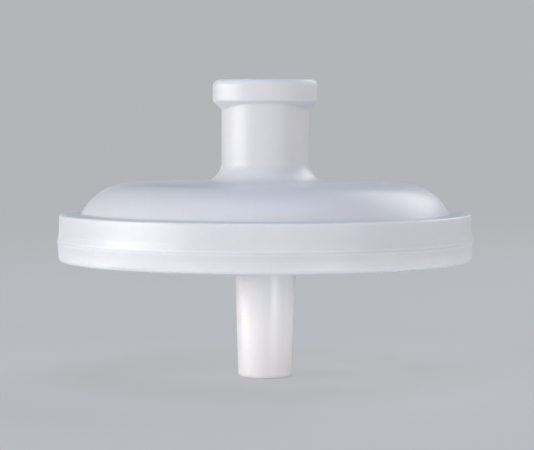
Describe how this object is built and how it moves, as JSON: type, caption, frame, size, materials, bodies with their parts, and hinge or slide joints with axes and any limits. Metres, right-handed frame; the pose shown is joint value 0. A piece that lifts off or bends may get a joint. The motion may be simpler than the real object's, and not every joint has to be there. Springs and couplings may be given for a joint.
{
  "type": "syringe filter",
  "caption": "Round disposable syringe filter: a domed white disc housing, welded round its rim, with a lugged Luer inlet neck above and a tapered Luer outlet tip below.",
  "frame": {"origin": "centre of the inlet's mouth, on the filter's axis", "axes": "+Z along the axis and out of the inlet, so the outlet tip points down; +X across the two Luer lugs; +Y across the collar's flats"},
  "size_m": [0.0308, 0.0308, 0.022],
  "materials": {
    "shell": "natural white polypropylene, satin gloss, faintly translucent",
    "membrane": "matt white porous film"
  },
  "bodies": {
    "root": {"inlet_housing": "shell", "outlet_housing": "shell", "membrane": "membrane"}
  },
  "joints": []
}
